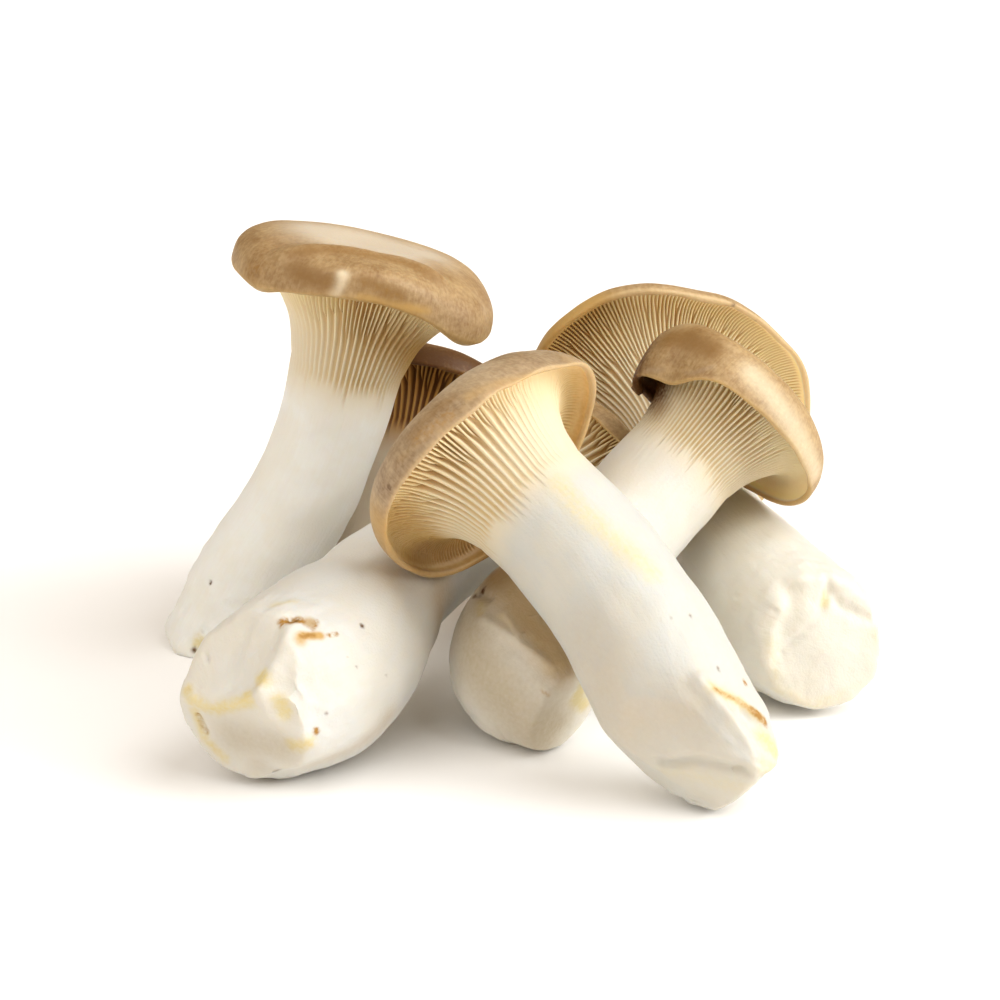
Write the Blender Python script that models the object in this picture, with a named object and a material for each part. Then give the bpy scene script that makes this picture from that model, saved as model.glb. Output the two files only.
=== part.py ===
"""A cluster of six king oyster mushrooms, trimmed with a knife and heaped together.

Each mushroom grew as one piece, so it is one closed body: a solid stem with a swollen, knife-cut
base, a trumpet of gills that runs down onto the stem, a rolled rim and a smooth cap.
The body is a loft along a bent stem line. Its rings change from round stem to waved cap, and the
gills are cut into the trumpet by a formula. They are wider apart and deeper than in life.
Sizes below are millimetres and degrees. X is to the right, Y away from the viewer, Z up.
"""

import math
from collections import namedtuple

import bmesh
import bpy
import numpy as np

MM = 0.001
CREAM = (0.86, 0.80, 0.68, 1.0)
FLESH_ROUGHNESS = 0.55

STEM_SIDES = 24
CAP_SIDES = 48
STEM_RINGS = 11
LINE_STEPS = 60
GILL_DEPTH = 1.5
CUT_END_BULGE = 0.35
SHARP_EDGE = 50

# stem: (x, y, z, radius) from the cut end to the neck.
# radius, depth: half the width of the cap, and the height of the gill trumpet over the neck.
# thickness, dome: height of the rim over the gills, and of the cap's middle over its shoulder.
# droop: how far the rim hangs below the gills. curl: (extra droop, angle) where it rolls under.
# outline: (waves round the cap, share of the radius, angle of a crest).
# lift: (waves round the cap, height, angle of a crest) of the rim.
# lean: how far the cap is tipped about the X and the Y axis.
# cuts: (point, outward direction) of the knife's flat faces.
Mushroom = namedtuple(
    "Mushroom", "name stem radius depth thickness dome droop curl outline lift lean cuts gills"
)

CLUSTER = [
    Mushroom(
        name="standing_mushroom",
        stem=[(-79, 45, -2, 14), (-68, 45, 18, 15), (-54, 45, 40, 14.5), (-45, 45, 61, 14),
              (-40.5, 45, 78, 15)],
        radius=34, depth=25, thickness=6, dome=4, droop=0.5, curl=(2, 0),
        outline=[(1, 0.02, 180), (2, 0.05, 0), (3, 0.02, 40)],
        lift=[(1, 0.5, 0), (2, 1.5, 90)],
        lean=(-3, 0),
        cuts=[],
        gills=48,
    ),
    Mushroom(
        name="left_mushroom",
        stem=[(-66, -65, 20.5, 14), (-59.5, -55, 21, 18.5), (-52.5, -45, 22, 21.5), (-45, -33, 22.3, 22.5),
              (-38.5, -23, 25.5, 21.5), (-33, -11, 28.5, 18.5), (-27, 3, 32, 16), (-15.5, 19, 36.5, 15),
              (-4, 32.5, 40, 14.5), (10.3, 50, 42.5, 14)],
        radius=25.5, depth=14, thickness=6, dome=2, droop=2, curl=(0, 0),
        outline=[(2, 0.05, 30), (3, 0.03, 0)],
        lift=[(2, 2, 0)],
        lean=(0, 0),
        cuts=[((-56, -62, 27), (-0.45, -0.86, -0.25)), ((-56, -62, 27), (-0.50, -0.64, 0.58))],
        gills=40,
    ),
    Mushroom(
        name="middle_mushroom",
        stem=[(20, -35, 9, 9), (12, -28, 13.6, 14.5), (5.5, -16, 19.3, 18.5), (17, 1, 32, 16.5),
              (33, 14, 45, 15.5), (47.5, 24.5, 58, 15)],
        radius=28.5, depth=20, thickness=6, dome=2.5, droop=3, curl=(5, 215),
        outline=[(2, 0.07, 35), (3, 0.03, 225)],
        lift=[(2, 1, 120)],
        lean=(0, 0),
        cuts=[((18, -30, 10), (0.70, -0.65, -0.30))],
        gills=48,
    ),
    Mushroom(
        name="right_mushroom",
        stem=[(86, -14, 17.5, 14), (79.5, -3, 18.6, 18), (73.5, 12, 19.8, 19.5), (66.5, 30, 23.6, 17.5),
              (59.5, 50, 28.6, 15), (53, 67, 37, 14.5), (50, 81, 44.5, 14)],
        radius=43, depth=18, thickness=6, dome=2, droop=2, curl=(0, 0),
        outline=[(2, 0.04, 60), (3, 0.03, 0)],
        lift=[(2, 2, 0)],
        lean=(-14, 0),
        cuts=[((82, -8, 18), (0.25, -0.94, 0.20))],
        gills=56,
    ),
    Mushroom(
        name="front_mushroom",
        stem=[(61, -73, 7.7, 8.5), (52, -66, 13.2, 14.2), (42.5, -58.5, 22, 17.3), (35.6, -50.5, 33, 17.5),
              (27.4, -42.5, 44.8, 17), (17.4, -34.5, 55.5, 16.5), (7, -26.7, 63.8, 16.5)],
        radius=33.5, depth=18, thickness=6, dome=2, droop=3, curl=(2, 0),
        outline=[(2, 0.04, 45), (3, 0.03, 0)],
        lift=[(2, 2, 0)],
        lean=(-8, -2),
        cuts=[((53, -77, 26), (-0.35, -0.92, -0.17)), ((54.5, -73, 24), (0.60, -0.61, 0.51)),
              ((58.5, -71, 9.5), (0.70, -0.31, -0.64))],
        gills=56,
    ),
    Mushroom(
        name="rear_mushroom",
        stem=[(-39, 55, -1, 12), (-35, 61, 20, 13), (-29, 69, 37, 12), (-24.8, 77, 51, 11)],
        radius=26, depth=13, thickness=5, dome=2, droop=2, curl=(0, 0),
        outline=[(2, 0.05, 0)],
        lift=[(2, 2, 0)],
        lean=(-18, -2),
        cuts=[],
        gills=36,
    ),
]

# Rings from the neck, over the gills and round the rim to the cap's middle:
# (place along the cap's profile, gill depth as a share). The sides follow from these.
GILL_RINGS = [(0.08, 0.4), (0.17, 0.9), (0.27, 1.0), (0.36, 1.0), (0.43, 0.6)]
RIM_PLACES = [0.49, 0.555, 0.66, 0.77]
CROWN_PLACE = 0.88


def unit(vector):
    vector = np.asarray(vector, float)
    return vector / np.linalg.norm(vector)


def curve_through(stations, places):
    """Points of a smooth curve through the stations, at places from 0 to 1 along them."""
    rows = np.asarray(stations, float)
    rows = np.vstack([2 * rows[0] - rows[1], rows, 2 * rows[-1] - rows[-2]])
    spans = len(stations) - 1
    at = np.clip(np.asarray(places, float), 0, 1) * spans
    span = np.minimum(at.astype(int), spans - 1)
    t = (at - span)[:, None]
    a, b, c, d = (rows[span + i] for i in range(4))
    bend = (2 * a - 5 * b + 4 * c - d) * t**2 + (3 * b - a - 3 * c + d) * t**3
    return 0.5 * (2 * b + (c - a) * t + bend)


def turn(axis, degrees):
    """Rotation matrix about a unit axis."""
    angle = math.radians(degrees)
    x, y, z = axis
    cross = np.array([[0, -z, y], [z, 0, -x], [-y, x, 0]])
    return np.eye(3) + math.sin(angle) * cross + (1 - math.cos(angle)) * cross @ cross


def frames_along(line):
    """A right and a forward direction square to the line at each point, without twist.

    They are carried back from the cap's end, where right is the nearest direction to +X.
    """
    along = np.gradient(line, axis=0)
    along /= np.linalg.norm(along, axis=1)[:, None]
    right = np.zeros_like(line)
    side = np.array([1.0, 0.0, 0.0])
    for i in reversed(range(len(line))):
        side = unit(side - along[i] * (side @ along[i]))
        right[i] = side
    return right, np.cross(along, right), along


def cap_profile(m, neck):
    """(distance from the axis, height over the neck) from the neck, round the rim, to the top."""
    flare = m.radius - neck
    top = m.depth + m.thickness
    return [
        (neck, 0.0),
        (neck + 0.13 * flare, 0.40 * m.depth),
        (neck + 0.42 * flare, 0.80 * m.depth),
        (neck + 0.74 * flare, 1.00 * m.depth),
        (neck + 0.93 * flare, 0.97 * m.depth),
        (m.radius, 0.90 * m.depth),
        (m.radius, m.depth + 0.45 * m.thickness),
        (0.86 * m.radius, top),
        (0.50 * m.radius, top + 0.7 * m.dome),
        (0.0, top + m.dome),
    ]


def waves(terms, angle):
    """Sum of cosine waves round the cap."""
    return sum(size * np.cos(count * (angle - math.radians(crest))) for count, size, crest in terms)


def circle(sides):
    return np.arange(sides) * 2 * math.pi / sides


def stem_rings(m, line, girth, right, forward):
    rings = []
    for k in range(STEM_RINGS):
        i = round(k * (LINE_STEPS - 1) / STEM_RINGS)
        angle = circle(STEM_SIDES)
        across = np.outer(np.cos(angle), right[i]) + np.outer(np.sin(angle), forward[i])
        rings.append(line[i] + girth[i] * across)
    return rings


def cap_ring(m, profile, place, sides, gill):
    """One ring of the cap, as (right, forward, up) from the neck. Every second corner is a valley."""
    (rho, height), (rho_next, height_next) = curve_through(profile, [place, place + 0.01])
    slope = unit((rho_next - rho, height_next - height))
    angle = circle(sides)
    neck = profile[0][0]
    reach = max(0.0, (rho - neck) / (m.radius - neck))
    spread = rho * (1 + reach * waves(m.outline, angle))
    extra, where = m.curl
    droop = m.droop + extra * (0.5 + 0.5 * np.cos(angle - math.radians(where)))**2
    rise = height + reach**2 * waves(m.lift, angle) - reach**4 * droop
    valley = gill * GILL_DEPTH * (np.arange(sides) % 2)
    spread = spread - valley * slope[1]
    rise = rise + valley * slope[0]
    return np.stack([spread * np.cos(angle), spread * np.sin(angle), rise], 1), height


def mushroom_rings(m):
    """Cut end, loft rings and crown, in millimetres."""
    stations = curve_through(m.stem, np.linspace(0, 1, LINE_STEPS))
    line, girth = stations[:, :3], stations[:, 3]
    right, forward, along = frames_along(line)
    rings = stem_rings(m, line, girth, right, forward)
    foot = line[0] - along[0] * girth[0] * CUT_END_BULGE
    axes = np.stack([right[-1], forward[-1], along[-1]])
    profile = cap_profile(m, girth[-1])
    plan = [(0.0, CAP_SIDES, 0.0)]
    plan += [(place, 2 * m.gills, gill) for place, gill in GILL_RINGS]
    plan += [(place, CAP_SIDES, 0.0) for place in RIM_PLACES]
    plan += [(CROWN_PLACE, STEM_SIDES, 0.0)]
    for place, sides, gill in plan:
        ring, height = cap_ring(m, profile, place, sides, gill)
        share = min(1.0, max(0.0, height / m.depth))
        tip = turn((1, 0, 0), m.lean[0] * share) @ turn((0, 1, 0), m.lean[1] * share)
        rings.append(line[-1] + ring @ axes @ tip.T)
    tip = turn((1, 0, 0), m.lean[0]) @ turn((0, 1, 0), m.lean[1])
    crown = line[-1] + tip @ (along[-1] * profile[-1][1])
    return foot, rings, crown


def stitch(bm, lower, upper):
    """Faces between two rings, whatever their numbers of corners."""
    n, m = len(lower), len(upper)
    steps = max(n, m)
    for j in range(steps):
        a, b = j * n // steps, (j + 1) * n // steps
        c, d = j * m // steps, (j + 1) * m // steps
        corners = [lower[a], lower[b % n], upper[d % m], upper[c]]
        bm.faces.new([v for i, v in enumerate(corners) if v is not corners[i - 1]])


def trim(bm, point, direction):
    """Cuts away what lies beyond a knife's plane and closes the body with a flat face."""
    found = bmesh.ops.bisect_plane(
        bm, geom=bm.verts[:] + bm.edges[:] + bm.faces[:], dist=1e-7,
        plane_co=point, plane_no=direction, clear_outer=True,
    )
    edges = [e for e in found["geom_cut"] if isinstance(e, bmesh.types.BMEdge)]
    bmesh.ops.holes_fill(bm, edges=edges)


def make_material(name):
    material = bpy.data.materials.new(name)
    material.use_nodes = True
    shader = material.node_tree.nodes["Principled BSDF"]
    shader.inputs["Base Color"].default_value = CREAM
    shader.inputs["Roughness"].default_value = FLESH_ROUGHNESS
    shader.inputs["Metallic"].default_value = 0.0
    return material


def mushroom_body(m):
    """The closed body of one mushroom in metres, cut by the knife and by the floor."""
    foot, rings, crown = mushroom_rings(m)
    bm = bmesh.new()
    bottom = bm.verts.new(foot * MM)
    made = [[bm.verts.new(p * MM) for p in ring] for ring in rings]
    top = bm.verts.new(crown * MM)
    for j in range(STEM_SIDES):
        bm.faces.new((bottom, made[0][(j + 1) % STEM_SIDES], made[0][j]))
        bm.faces.new((made[-1][j], made[-1][(j + 1) % STEM_SIDES], top))
    for lower, upper in zip(made, made[1:]):
        stitch(bm, lower, upper)
    for point, direction in m.cuts:
        trim(bm, np.asarray(point) * MM, unit(direction))
    if min(v.co.z for v in bm.verts) < 0:
        trim(bm, (0, 0, 0), (0, 0, -1))
    bmesh.ops.triangulate(bm, faces=bm.faces[:])
    bmesh.ops.recalc_face_normals(bm, faces=bm.faces[:])
    return bm


def main():
    for obj in list(bpy.data.objects):
        bpy.data.objects.remove(obj)
    collection = bpy.data.collections.new("king_oyster_mushroom_cluster")
    bpy.context.scene.collection.children.link(collection)
    bodies = [mushroom_body(m) for m in CLUSTER]
    corners = np.array([v.co for bm in bodies for v in bm.verts])
    middle = 0.5 * (corners.min(0) + corners.max(0))
    for m, bm in zip(CLUSTER, bodies):
        bmesh.ops.translate(bm, verts=bm.verts[:], vec=(-middle[0], -middle[1], 0))
        mesh = bpy.data.meshes.new(m.name)
        bm.to_mesh(mesh)
        bm.free()
        mesh.shade_smooth()
        mesh.set_sharp_from_angle(angle=math.radians(SHARP_EDGE))
        mesh.materials.append(make_material(m.name))
        collection.objects.link(bpy.data.objects.new(m.name, mesh))


main()
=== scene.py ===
# %% [markdown]
# # A heap of king oyster mushrooms
# Six cut king oysters lie on and against each other. Each grew as one piece: a thick pale
# stem that swells at its foot, and a small cap whose gills run a little way down the stem.
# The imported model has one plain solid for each. Here every solid is replaced by a fine mesh
# that follows the same lines, with real gills, rolled rims, knife faces and soft dents.

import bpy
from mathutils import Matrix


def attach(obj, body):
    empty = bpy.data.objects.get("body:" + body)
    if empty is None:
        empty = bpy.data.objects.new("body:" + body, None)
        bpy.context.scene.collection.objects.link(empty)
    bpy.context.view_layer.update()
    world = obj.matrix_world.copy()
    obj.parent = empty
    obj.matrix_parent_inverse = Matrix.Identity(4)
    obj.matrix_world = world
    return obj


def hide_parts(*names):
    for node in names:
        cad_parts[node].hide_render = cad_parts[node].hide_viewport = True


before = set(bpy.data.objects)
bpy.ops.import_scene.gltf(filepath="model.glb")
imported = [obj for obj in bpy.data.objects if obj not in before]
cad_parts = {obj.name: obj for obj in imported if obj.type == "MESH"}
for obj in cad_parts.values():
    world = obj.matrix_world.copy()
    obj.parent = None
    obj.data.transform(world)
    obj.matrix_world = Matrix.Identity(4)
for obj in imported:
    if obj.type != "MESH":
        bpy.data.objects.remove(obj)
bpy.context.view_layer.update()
print("solids in the heap:", sorted(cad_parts))

# %% Modules and units
import itertools
import math
from collections import namedtuple

import bpy
import numpy as np
from mathutils import Vector

MM = 0.001
HEAP_MIDDLE = np.array([3.014, 18.536, 0.0])

# %% [markdown]
# ## The line of each stem
# A mushroom bends as it grows towards the light, so its stem is a curved line with a
# thickness at each place. Four to ten stations of (x, y, z, radius) give the whole stem, and
# a smooth curve through them gives the rest. A bezier curve with a bevel would also do, but
# it can't carry gills, so the surface is worked out point by point instead.
# The cap's own numbers follow: its width, how deep its underside is, how thick its edge is,
# how far the edge droops, and how it leans. What isn't stated for a cap is the same for all
# six. A cut is a place on a knife's plane and the way that the plane faces. Lengths are in
# millimetres and directions round the cap in degrees.

# %% The six mushrooms
USUAL = {
    "flare": (0.13, 0.42), "thickness": 6, "dome": 2, "droop": 2, "curl": (0, 0),
    "lean": (0, 0), "cuts": [], "roll": [], "crinkle": [], "faint": [],
}
Mushroom = namedtuple(
    "Mushroom",
    ["name", "slot", "seed", "stem", "radius", "depth", "outline", "lift", "gills", "gill_run",
     "gill_end", *USUAL],
    defaults=USUAL.values(),
)
Roll = namedtuple("Roll", "where width hinge turn")
Crinkle = namedtuple("Crinkle", "where width more")
Faint = namedtuple("Faint", "where width share")

HEAP = [
    Mushroom(
        "standing_mushroom", "standing_flesh", seed=1,
        stem=[(-79, 45, -2, 14), (-68, 45, 18, 15), (-54, 45, 40, 14.5), (-45, 45, 61, 14),
            (-40.5, 45, 78, 15)],
        radius=32.8, depth=25, flare=(0.17, 0.54), dome=4, droop=0.5, curl=(2, 0),
        outline=[(1, 0.02, 180), (2, 0.05, 0), (3, 0.02, 40)],
        lift=[(1, 0.5, 0), (2, 1.5, 90), (3, 1.8, 283)], lean=(-3, 0), gills=64, gill_run=13,
        gill_end=0.9, faint=[Faint(200, 80, 0.95), Faint(350, 65, 0.85)],
    ),
    Mushroom(
        "left_mushroom", "left_flesh", seed=2,
        stem=[(-66, -65, 20.5, 14), (-59.5, -55, 21, 18.5), (-52.5, -45, 22, 21.5),
            (-45, -33, 22.3, 22.5), (-38.5, -23, 25.5, 21.5), (-33, -11, 28.5, 18.5),
            (-27, 3, 32, 16), (-15.5, 19, 36.5, 15), (-4, 32.5, 40, 14.5), (10.3, 50, 42.5, 14)],
        radius=25.5, depth=14, outline=[(2, 0.05, 30), (3, 0.03, 0)], lift=[(2, 2, 0)],
        cuts=[((-56, -62, 27), (-0.45, -0.86, -0.25)), ((-56, -62, 27), (-0.50, -0.64, 0.58))],
        gills=50, gill_run=14, gill_end=0.9, faint=[Faint(40, 50, 0.6)],
    ),
    Mushroom(
        "middle_mushroom", "middle_flesh", seed=3,
        stem=[(20, -35, 9, 9), (12, -28, 13.6, 14.5), (5.5, -16, 19.3, 18.5), (17, 1, 32, 16.5),
            (33, 14, 45, 15.5), (47.5, 24.5, 58, 15)],
        radius=28.5, depth=20, dome=2.5, droop=3, curl=(5, 215),
        outline=[(2, 0.07, 35), (3, 0.03, 225)], lift=[(2, 1, 120)],
        cuts=[((18, -30, 10), (0.70, -0.65, -0.30))], gills=84, gill_run=12, gill_end=0.92,
        roll=[Roll(238, 34, 0.62, 38), Roll(192, 42, 0.35, 42)],
        faint=[Faint(20, 115, 0.88), Faint(232, 25, 0.5)],
    ),
    Mushroom(
        "right_mushroom", "right_flesh", seed=4,
        stem=[(86, -14, 17.5, 14), (79.5, -3, 18.6, 18), (73.5, 12, 19.8, 19.5),
            (66.5, 30, 23.6, 17.5), (59.5, 50, 28.6, 15), (53, 67, 37, 14.5), (50, 81, 44.5, 14)],
        radius=43, depth=18, thickness=4.8, outline=[(2, 0.04, 60), (3, 0.03, 0), (9, 0.008, 20)],
        lift=[(2, 2, 0), (7, 0.5, 40)], lean=(-14, 0), cuts=[((82, -8, 18), (0.25, -0.94, 0.20))],
        gills=78, gill_run=14, gill_end=0.96, crinkle=[Crinkle(215, 60, 1.5)],
        faint=[Faint(325, 45, 0.35), Faint(258, 50, 0.55)],
    ),
    Mushroom(
        "front_mushroom", "front_flesh", seed=5,
        stem=[(61, -73, 7.7, 8.5), (52, -66, 13.2, 14.2), (42.5, -58.5, 22, 17.3),
            (35.6, -50.5, 33, 17.5), (27.4, -42.5, 44.8, 17), (17.4, -34.5, 55.5, 16.5),
            (7, -26.7, 63.8, 16.5)],
        radius=33.5, depth=18, droop=3, curl=(2, 0), outline=[(2, 0.04, 45), (3, 0.03, 0)],
        lift=[(2, 2, 0)], lean=(-8, -2),
        cuts=[((52.8, -77.7, 25.9), (-0.35, -0.92, -0.17)), ((54.5, -73, 24), (0.60, -0.61, 0.51)),
            ((58.5, -71, 9.5), (0.70, -0.31, -0.64))],
        gills=66, gill_run=11, gill_end=0.92, crinkle=[Crinkle(165, 40, 3.0)],
        faint=[Faint(325, 115, 1.0), Faint(283, 45, 0.4)],
    ),
    Mushroom(
        "rear_mushroom", "rear_flesh", seed=6,
        stem=[(-39, 55, -1, 12), (-35, 61, 20, 13), (-29, 69, 37, 12), (-24.8, 77, 51, 11)],
        radius=26, depth=13, thickness=4, outline=[(2, 0.05, 0)], lift=[(2, 2, 0)], lean=(-18, -2),
        gills=44, gill_run=12, gill_end=0.93,
    ),
]
print("mushrooms:", len(HEAP))

# %% [markdown]
# ## Tools for smooth shapes
# A mushroom has no straight line and no even surface, so two tools do most of the work: a
# curve through a few places, and smooth noise, which is a height that wanders gently and is
# the same on each run. Both work on whole arrays of points at once, which keeps a mesh of
# a hundred thousand points quick.

# %% Curves, turns and smooth noise
CELL_PRIMES = (73856093, 19349663, 83492791)
SEED_PRIME = 26544357
WORD = 0xFFFFFFFF
SCRAMBLES = ((15, 0x2C1B3C6D), (12, 0x297A2D39))


def unit(vector):
    vector = np.asarray(vector, float)
    return vector / np.linalg.norm(vector)


def curve_through(stations, places):
    """Points of a smooth curve through the stations, at places from 0 to 1 along them."""
    rows = np.asarray(stations, float)
    rows = np.vstack([2 * rows[0] - rows[1], rows, 2 * rows[-1] - rows[-2]])
    spans = len(stations) - 1
    at = np.clip(np.asarray(places, float), 0, 1) * spans
    span = np.minimum(at.astype(int), spans - 1)
    t = (at - span)[:, None]
    a, b, c, d = (rows[span + i] for i in range(4))
    bend = (2 * a - 5 * b + 4 * c - d) * t**2 + (3 * b - a - 3 * c + d) * t**3
    return 0.5 * (2 * b + (c - a) * t + bend)


def turn(axis, degrees):
    """Rotation matrix about a unit axis."""
    angle = math.radians(degrees)
    x, y, z = axis
    cross = np.array([[0, -z, y], [z, 0, -x], [-y, x, 0]])
    return np.eye(3) + math.sin(angle) * cross + (1 - math.cos(angle)) * cross @ cross


def ease(low, high, x):
    """0 below low, 1 above high, and a smooth step between them."""
    t = np.clip((x - low) / (high - low), 0, 1)
    return t * t * (3 - 2 * t)


def scramble(cell, seed):
    """A number from -1 to 1 for each cell of a grid, the same on each run."""
    x, y, z = (cell[:, i] * prime for i, prime in enumerate(CELL_PRIMES))
    mixed = (x ^ y ^ z ^ seed * SEED_PRIME) & WORD
    for shift, factor in SCRAMBLES:
        mixed = ((mixed ^ (mixed >> shift)) * factor) & WORD
    return (mixed ^ (mixed >> 15)) / 2**31 - 1


def wander(points, size, seed):
    """Smooth noise from about -1 to 1 at points in space. Its bumps are size across."""
    at = np.asarray(points, float) / size
    cell = np.floor(at).astype(np.int64)
    part = at - cell
    part = part * part * (3 - 2 * part)
    total = np.zeros(len(at))
    for corner in itertools.product((0, 1), repeat=3):
        weight = np.prod(np.where(corner, part, 1 - part), axis=1)
        total += weight * scramble(cell + np.array(corner), seed)
    return total


def layers(points, sizes, seed):
    """Smooth noise in layers, each a height and the size of its bumps."""
    return sum(height * wander(points, size, seed + i) for i, (height, size) in enumerate(sizes))


sample = wander(np.random.default_rng(1).uniform(0, 100, (2000, 3)), 7, 1)
print(f"smooth noise runs from {sample.min():.2f} to {sample.max():.2f}")

# %% [markdown]
# ## The cap's profile
# Cut a mushroom in half and the cap's edge shows as one line: from the neck it flares out
# under the gills, rounds the rim and comes back over the top. The line is stated from the
# neck outwards as (distance from the middle, height). A lathe of it would be too perfect, so
# each point is also pushed by slow waves round the cap, by the droop of the edge, and at a
# few places by a roll, where the rim has curled in over the gills.

# %% Profile, frames and one ring of the cap
LINE_STEPS = 481
RIM_START = 0.49
LIP = 0.7
LIP_GROWS = (RIM_START - 0.04, RIM_START + 0.03)
LIP_ENDS = (0.66, 0.54)
NOISE_RING = 10
RIPPLES = (6, 2.5)


def frames_along(line):
    """A right and a forward direction square to the line at each point, without twist."""
    along = np.gradient(line, axis=0)
    along /= np.linalg.norm(along, axis=1)[:, None]
    right = np.zeros_like(line)
    side = np.array([1.0, 0.0, 0.0])
    for i in reversed(range(len(line))):
        side = unit(side - along[i] * (side @ along[i]))
        right[i] = side
    return right, np.cross(along, right), along


def cap_profile(m, neck):
    """(distance from the axis, height over the neck) from the neck, round the rim, to the top."""
    flare = m.radius - neck
    top = m.depth + m.thickness
    return [
        (neck, 0.0),
        (neck + m.flare[0] * flare, 0.40 * m.depth),
        (neck + m.flare[1] * flare, 0.80 * m.depth),
        (neck + 0.74 * flare, 1.00 * m.depth),
        (neck + 0.93 * flare, 0.97 * m.depth),
        (m.radius, 0.90 * m.depth),
        (m.radius, m.depth + 0.45 * m.thickness),
        (0.86 * m.radius, top),
        (0.50 * m.radius, top + 0.7 * m.dome),
        (0.0, top + m.dome),
    ]


def waves(terms, angle):
    """Slow waves round the cap, each a count, a size and the direction of a crest."""
    return sum(size * np.cos(count * (angle - math.radians(crest))) for count, size, crest in terms)


def nearness(angle, where, width):
    """1 at the direction where, falling smoothly to 0 at width degrees from it."""
    off = np.abs((np.degrees(angle) - where + 180) % 360 - 180)
    return ease(width, 0, off) if width else 0 * angle


def around(angle, size):
    """The direction as a place on a circle, so that noise joins up after a full turn."""
    return np.stack([size * np.cos(angle), size * np.sin(angle), 0 * angle], 1)


def cap_ring(m, profile, place, angle, valley):
    """One ring of the cap as (right, forward, up) from the neck, and its height for the lean.

    place is how far along the profile the ring is, and valley how deep each point lies.
    """
    (rho, height), (rho_next, height_next) = curve_through(profile, [place, place + 0.01])
    slope = unit((rho_next - rho, height_next - height))
    neck = profile[0][0]
    reach = max(0.0, (rho - neck) / (m.radius - neck))
    ring = around(angle, NOISE_RING)
    ripple = wander(ring, RIPPLES[0], m.seed) + 0.5 * wander(ring, RIPPLES[1], m.seed + 9)
    spread = rho * (1 + reach * waves(m.outline, angle)) + 0.5 * reach**3 * ripple
    extra, where = m.curl
    droop = m.droop + extra * (0.5 + 0.5 * np.cos(angle - math.radians(where)))**2
    rise = height + reach**2 * waves(m.lift, angle) - reach**4 * droop + 0.7 * reach**3 * ripple
    lip = LIP * ease(*LIP_GROWS, place) * ease(*LIP_ENDS, place)
    out = lip - valley
    spread = spread + out * slope[1]
    rise = rise - out * slope[0]
    for roll in m.roll:
        hinge = neck + roll.hinge * (m.radius - neck)
        beyond = spread - hinge
        phi = np.radians(roll.turn) * nearness(angle, roll.where, roll.width)
        phi = phi * ease(0, 0.5 * (m.radius - hinge), beyond)
        up = rise - m.depth
        rolled = beyond * np.cos(phi) + up * np.sin(phi), up * np.cos(phi) - beyond * np.sin(phi)
        spread = np.where(beyond > 0, hinge + rolled[0], spread)
        rise = np.where(beyond > 0, m.depth + rolled[1], rise)
    return np.stack([spread * np.cos(angle), spread * np.sin(angle), rise], 1), height


# %% [markdown]
# ## Gills
# The gills are thin blades that hang under the cap. One in three runs all the way and a
# little down the stem. The shorter ones start further out, where there is room between them.
# Modelling each blade by itself would give hundreds of loose sheets, so they are folds of
# the one skin instead: four columns of points for each gill, two on its crest and two in
# the valley beside it. A short gill is squeezed to nothing at the neck and opens on its way
# out, and slow noise bends all columns so that no two gills run quite the same.

# %% Where the gills run
GILL_TIERS = [0.0, 0.52, 0.24]
TIER = len(GILL_TIERS)
GILL_CORNERS = np.array([0.0, 0.34, 0.58, 0.78])
START_SHIFTS = (-0.12, 0.14)
RUN_SHARES = (0.25, 1.0)
GILL_DEEP = 1.9
NECK_DEEP = 0.45
DEEPEST_FROM = 0.45
SHORT_GILL_OPENS = 0.16
THINNEST = 0.04
GILL_CLOSES = 0.09
BEND = 0.55
UNEVEN = 0.22
NECK_ABOUT = 16


def gill_starts(m):
    """Where each gill starts between neck (0) and rim (1), and how far it runs down the stem."""
    rng = np.random.default_rng(m.seed)
    count = m.gills * TIER
    starts = np.tile(GILL_TIERS, m.gills)
    starts = np.where(starts > 0, starts + rng.uniform(*START_SHIFTS, count), 0)
    return starts, rng.uniform(*RUN_SHARES, count) * m.gill_run


def gill_row(m, starts, runs, reach, below, seed_reach):
    """The angles of a row's columns, how deep each lies, and a mask that is 1 in a valley.

    reach is how far out the row is, below how far down the stem from the neck, and
    seed_reach its place in the noise.
    """
    count = len(starts)
    opened = ease(starts, starts + SHORT_GILL_OPENS, np.full(count, reach))
    shown = np.where(starts > 0, opened, 1.0)
    lasting = ease(runs, 0.0 * runs, np.full(count, below))
    long_pair = np.minimum(lasting[::TIER], np.roll(lasting[::TIER], -1))
    valley_share = np.repeat(long_pair, TIER)
    fade = ease(m.gill_run, 0.5 * m.gill_run, below)
    width = np.maximum(shown, THINNEST) * fade + (1 - fade)
    sector = width.reshape(m.gills, TIER)
    sector = sector / sector.sum(1, keepdims=True)
    begins = np.cumsum(sector, 1) - sector + np.arange(m.gills)[:, None]
    begins, sector = begins.reshape(-1, 1), sector.reshape(-1, 1)
    angle = ((begins + GILL_CORNERS * sector) * 2 * math.pi / m.gills).ravel()
    deep = NECK_DEEP + (GILL_DEEP - NECK_DEEP) * ease(0.0, DEEPEST_FROM, reach)
    hollow = valley_share * ease(m.gill_end, m.gill_end - GILL_CLOSES, reach)
    blade = begins.ravel() * 2 * math.pi / m.gills
    for faint in m.faint:
        hollow = hollow * (1 - faint.share * nearness(blade, faint.where, faint.width))
    crest = hollow * (1 - shown)
    in_valley = np.stack([crest, crest, hollow, hollow], 1).ravel()
    low = deep * in_valley
    place = around(angle, NOISE_RING) + np.array([0, 0, seed_reach])
    bend = BEND * wander(place, 5, m.seed + 20)
    for crinkle in m.crinkle:
        near = nearness(angle, crinkle.where, crinkle.width)
        bend = bend + UNEVEN * crinkle.more * near * wander(place, 2.2, m.seed + 21)
    angle = angle + bend / (NECK_ABOUT + reach * (m.radius - NECK_ABOUT))
    low = low * (1 + UNEVEN * wander(place * 3, 2.2, m.seed + 22))
    return angle, low, in_valley


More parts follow.
